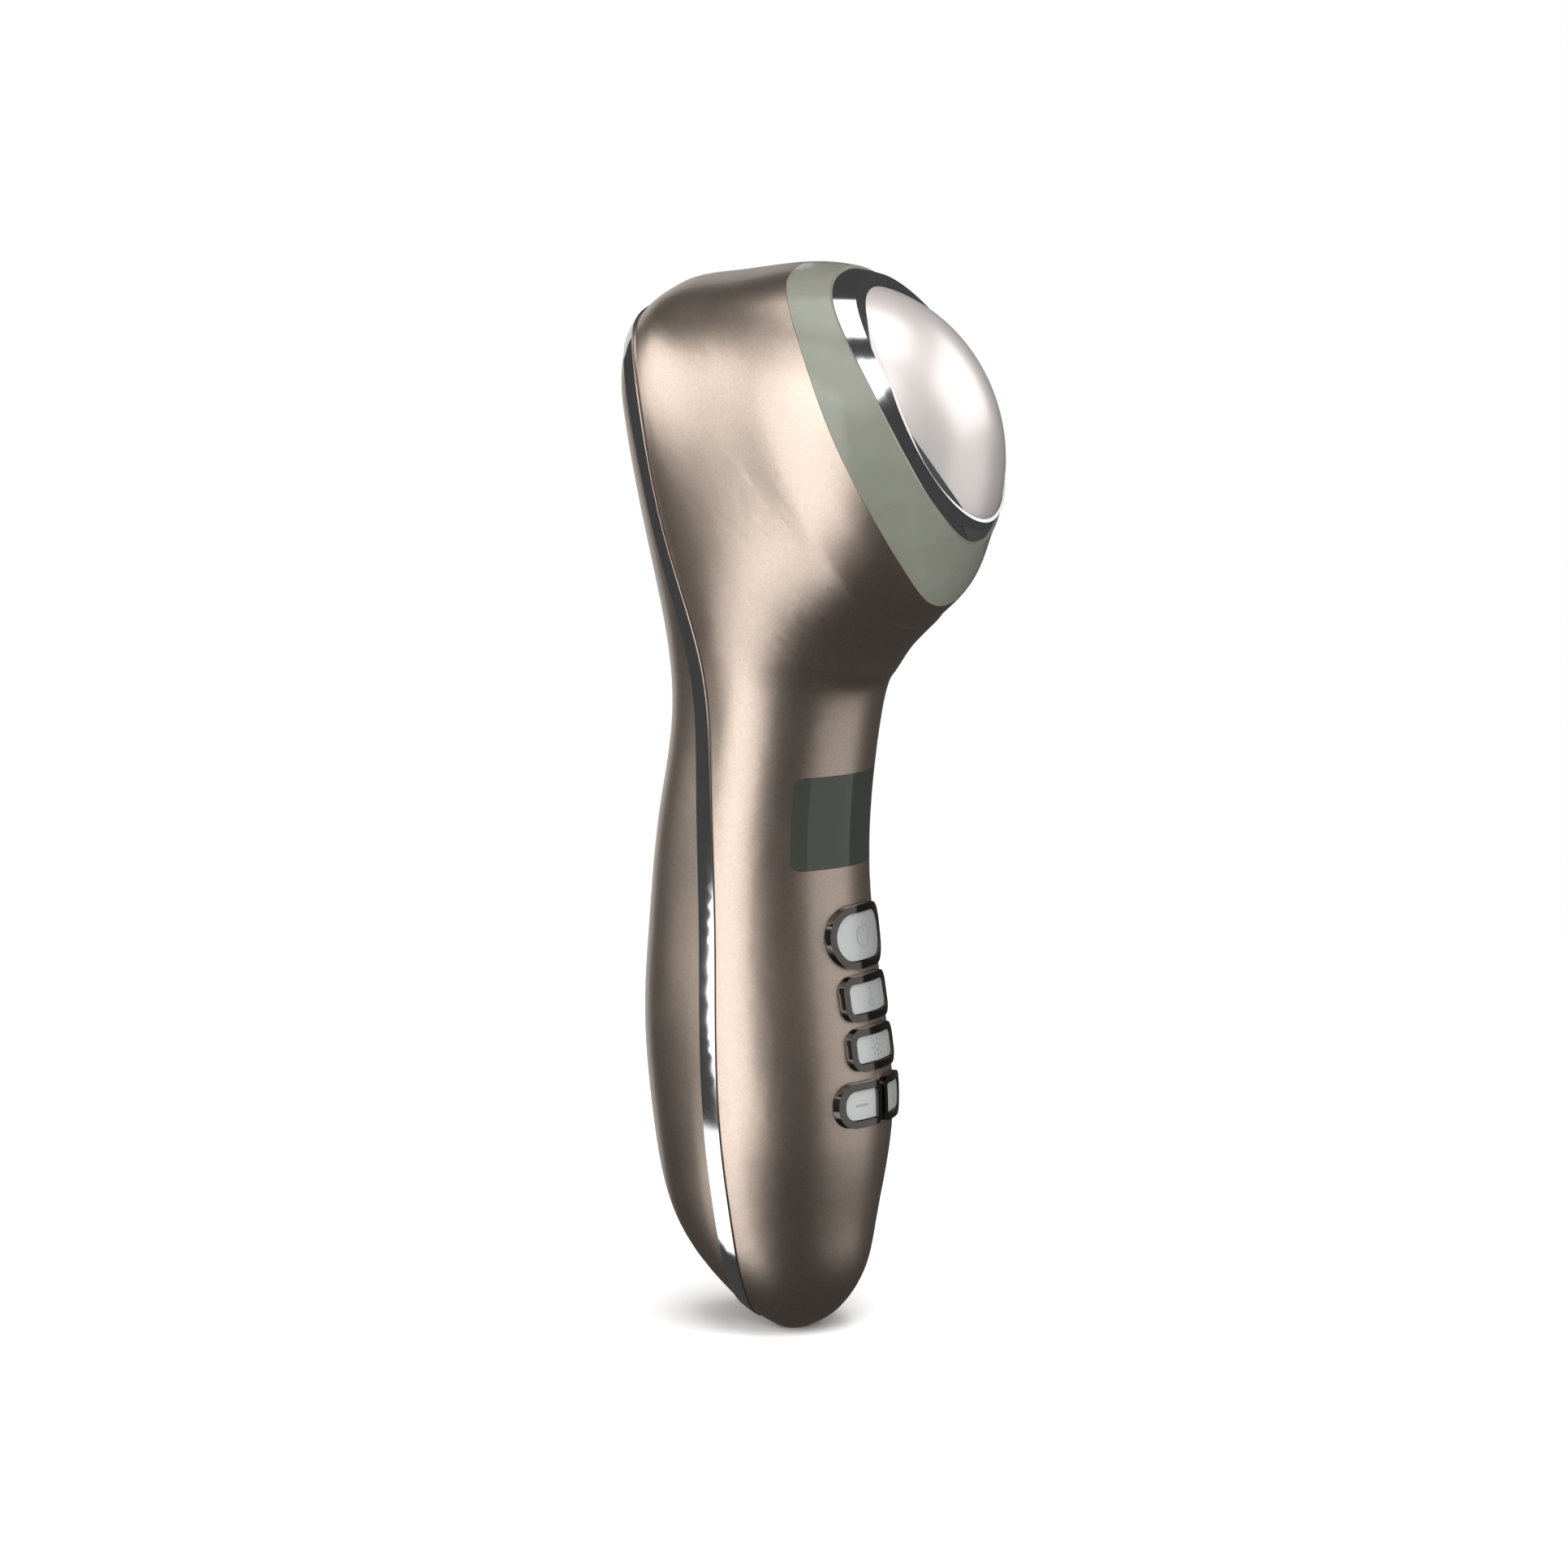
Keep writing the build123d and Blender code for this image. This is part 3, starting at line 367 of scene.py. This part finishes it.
# Finishes of the inner pieces, seen when the case is opened. Each has a faint grain of its own
# size, which shifts the colour and the gloss a little, as moulding, plating or casting does.
innerFinishes = [
    # name, colour, second colour, metallic, roughness from and to, grain in mm, dip, pieces
    ("black ABS moulded", "#1C1D1F", "#242527", 0.0, 0.45, 0.6, 0.5, 0.1,
     [name + "_switch" for name in keyNames]),
    ("grey acetal moulded", "#8C8F92", "#84878A", 0.0, 0.35, 0.5, 0.6, 0.05,
     [name + "_plunger" for name in keyNames]),
    ("white polycarbonate moulded", "#E6E6E2", "#DCDCD6", 0.0, 0.3, 0.4, 2.0, 0.02,
     ["display_backlight"]),
    ("liquid crystal glass", "#59605A", "#50564F", 0.0, 0.08, 0.14, 4.0, 0.0,
     ["display_panel"]),
    ("alumina ceramic fired", "#EDEAE2", "#E2DED4", 0.0, 0.5, 0.65, 0.4, 0.15,
     ["cooler_cold_plate", "cooler_hot_plate"]),
    ("bismuth telluride sintered", "#6B6E74", "#54575D", 0.8, 0.4, 0.6, 0.3, 0.2,
     ["cooler_pellets"]),
    ("green solder mask on glass board", "#1F5A3A", "#2A6B47", 0.0, 0.3, 0.42, 1.6, 0.12,
     ["main_board", "lamp_board"]),
    ("black epoxy moulded", "#17181A", "#202124", 0.0, 0.5, 0.65, 0.3, 0.2,
     ["controller_chip", "cooler_transistors"]),
    ("drawn aluminium can", "#C9CBCD", "#BCBEC0", 1.0, 0.25, 0.35, 0.8, 0.03,
     ["filter_capacitors"]),
    ("zinc plated steel", "#B9BDC2", "#A8ACB2", 1.0, 0.25, 0.4, 0.5, 0.1,
     ["board_screws", "case_screws", "heat_sink_screws", "motor_shaft"]),
    ("shrunk PVC sleeve", "#2F5C8F", "#2A5380", 0.0, 0.25, 0.38, 3.0, 0.05,
     ["battery_cell"]),
    ("natural ABS moulded", "#D6D3CA", "#CBC8BE", 0.0, 0.45, 0.6, 0.7, 0.1,
     ["battery_cradle", "head_frame", "motor_bracket"]),
    ("nickel plated brass", "#C9C4B8", "#BBB5A8", 1.0, 0.18, 0.3, 0.6, 0.05,
     ["charging_socket"]),
    ("aluminium extruded", "#C4C7CA", "#B3B6BA", 1.0, 0.35, 0.5, 0.5, 0.2,
     ["heat_sink"]),
    ("silicone rubber moulded", "#3A3B3D", "#333436", 0.0, 0.6, 0.75, 0.6, 0.1,
     ["dome_seal"]),
    ("silicone lead covering", "#A8352F", "#98302B", 0.0, 0.45, 0.6, 1.0, 0.05,
     ["head_leads", "battery_leads", "socket_leads"]),
    ("clear epoxy cast over phosphor", "#E9DFA8", "#E0D391", 0.0, 0.15, 0.25, 0.6, 0.02,
     ["lamps"]),
    ("rolled steel can", "#B4B7BB", "#A4A7AC", 1.0, 0.25, 0.38, 0.8, 0.08,
     ["motor_can"]),
    ("brass turned", "#C9A75C", "#B8974F", 1.0, 0.25, 0.38, 0.3, 0.1,
     ["eccentric_weight"]),
    ("black epoxy bead", "#222326", "#2B2C30", 0.0, 0.35, 0.5, 0.4, 0.1,
     ["temperature_sensor"]),
]
innerDipDepth = 0.05 * mm
for name, first, second, metallic, low, high, grainSize, dipStrength, pieces in innerFinishes:
    material, tree = startMaterial(name)
    place = addNode(tree, "ShaderNodeTexCoord", {})
    grain = addNode(tree, "ShaderNodeTexNoise", {"Scale": 1 / (grainSize * mm), "Detail": 3.0},
                    [("Vector", place.outputs["Object"])])
    tone = addNode(tree, "ShaderNodeMix", {"data_type": "RGBA"}, [("Factor", grain.outputs["Fac"])])
    tone.inputs[6].default_value = linear(first)
    tone.inputs[7].default_value = linear(second)
    gloss = addNode(tree, "ShaderNodeMapRange", {"To Min": low, "To Max": high},
                    [("Value", grain.outputs["Fac"])])
    dip = addNode(tree, "ShaderNodeBump", {"Strength": dipStrength, "Distance": innerDipDepth},
                  [("Height", grain.outputs["Fac"])])
    shader = addNode(tree, "ShaderNodeBsdfPrincipled", {"Metallic": metallic},
                     [("Base Color", tone.outputs[2]), ("Roughness", gloss.outputs[0]),
                      ("Normal", dip.outputs[0])])
    addNode(tree, "ShaderNodeOutputMaterial", {}, [("Surface", shader.outputs[0])])
    paint(material, pieces)
print("inner pieces painted")

# Marks on the keys: flat shapes wrapped onto each cap.
markPlan = {
    "stroke": 0.45 * mm,
    "lift": 0.02 * mm,  # above the cap's surface, as thick as the ink
    "standOff": 2 * mm,  # in front of the cap before wrapping
    "barCuts": 6,
    "ringFacets": 48,
    "signWidth": 3.0 * mm,  # of the minus and plus signs
    "powerRadius": 2.2 * mm,
    "powerGap": 0.5,  # half the open angle, in radians
    "powerBar": 2.0 * mm,
    "powerBarUp": 1.7 * mm,
    "stemWidth": 0.72 * mm,
    "stemHeight": 2.2 * mm,
    "stemUp": 0.6 * mm,
    "bulbRadius": 0.9 * mm,
    "bulbStroke": 0.6 * mm,
    "bulbDown": 1.0 * mm,
    "lampRadius": 0.8 * mm,
    "lampStroke": 0.4 * mm,
    "rayCount": 8,
    "rayOut": 1.5 * mm,
    "rayWidth": 0.3 * mm,
    "rayHeight": 0.7 * mm,
}


def middleOf(name):
    low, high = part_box(name + "_button")
    return Vector(((low[0] + high[0]) / 2, low[1] - markPlan["standOff"], (low[2] + high[2]) / 2))


def addBar(middle, width, height, turn=0.0):  # a flat bar facing -Y, divided so that it can bend
    bpy.ops.object.select_all(action="DESELECT")
    bpy.ops.mesh.primitive_plane_add(size=1, location=middle, rotation=(math.pi / 2, turn, 0))
    bar = bpy.context.object
    bar.scale = (width, height, 1)
    bpy.ops.object.mode_set(mode="EDIT")
    bpy.ops.mesh.subdivide(number_cuts=markPlan["barCuts"])
    bpy.ops.object.mode_set(mode="OBJECT")
    bpy.ops.object.transform_apply(location=True, rotation=True, scale=True)
    return bar


def addRing(middle, radius, stroke, gap=0.0):  # a flat ring facing -Y, open at the top by an angle
    bpy.ops.object.select_all(action="DESELECT")
    bpy.ops.mesh.primitive_circle_add(vertices=markPlan["ringFacets"], radius=radius, fill_type="NOTHING",
                                      location=middle, rotation=(math.pi / 2, 0, 0))
    ring = bpy.context.object
    bpy.ops.object.mode_set(mode="EDIT")
    bpy.ops.mesh.select_all(action="SELECT")
    bpy.ops.mesh.extrude_region_move()
    share = (radius - stroke) / radius
    bpy.ops.transform.resize(value=(share, share, share))
    bpy.ops.mesh.select_all(action="DESELECT")
    bpy.ops.object.mode_set(mode="OBJECT")
    if gap:
        for face in ring.data.polygons:
            face.select = abs(math.atan2(face.center.x, face.center.y)) < gap
        bpy.ops.object.mode_set(mode="EDIT")
        bpy.ops.mesh.select_mode(type="FACE")
        bpy.ops.mesh.delete(type="FACE")
        bpy.ops.mesh.select_mode(type="VERT")
        bpy.ops.object.mode_set(mode="OBJECT")
    bpy.ops.object.transform_apply(location=True, rotation=True, scale=True)
    return ring


def finishMark(strokes, name):  # joins the strokes and wraps them onto the cap
    bpy.ops.object.select_all(action="DESELECT")
    for stroke in strokes:
        stroke.select_set(True)
    bpy.context.view_layer.objects.active = strokes[0]
    if len(strokes) > 1:
        bpy.ops.object.join()
    mark = bpy.context.object
    mark.name = name + "_mark"
    wrap = mark.modifiers.new("wrap", "SHRINKWRAP")
    wrap.target = nodes[name + "_button"]
    wrap.wrap_method = "PROJECT"
    wrap.use_project_y = True
    wrap.use_positive_direction = True
    wrap.use_negative_direction = True
    wrap.offset = markPlan["lift"]
    bpy.ops.object.modifier_apply(modifier=wrap.name)
    bpy.ops.object.shade_smooth()
    mark.data.materials.append(greyInk)
    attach(mark, name + "_key")


inkStroke = markPlan["stroke"]
spot = middleOf("power")
finishMark([addRing(spot, markPlan["powerRadius"], inkStroke, gap=markPlan["powerGap"]),
            addBar(spot + Vector((0, 0, markPlan["powerBarUp"])),
                   inkStroke, markPlan["powerBar"])], "power")

spot = middleOf("temperature")
stemSpot = spot + Vector((0, 0, markPlan["stemUp"]))
bulbSpot = spot - Vector((0, 0, markPlan["bulbDown"]))
finishMark([addBar(stemSpot, markPlan["stemWidth"], markPlan["stemHeight"]),
            addRing(bulbSpot, markPlan["bulbRadius"], markPlan["bulbStroke"])], "temperature")

spot = middleOf("light")
rays = [addRing(spot, markPlan["lampRadius"], markPlan["lampStroke"])]
for index in range(markPlan["rayCount"]):
    turn = index * 2 * math.pi / markPlan["rayCount"]
    out = Vector((math.sin(turn), 0, math.cos(turn))) * markPlan["rayOut"]
    rays.append(addBar(spot + out, markPlan["rayWidth"], markPlan["rayHeight"], turn))
finishMark(rays, "light")

finishMark([addBar(middleOf("minus"), markPlan["signWidth"], inkStroke)], "minus")
spot = middleOf("plus")
finishMark([addBar(spot, markPlan["signWidth"], inkStroke), addBar(spot, inkStroke, markPlan["signWidth"])],
           "plus")
print("marks printed on the keys")
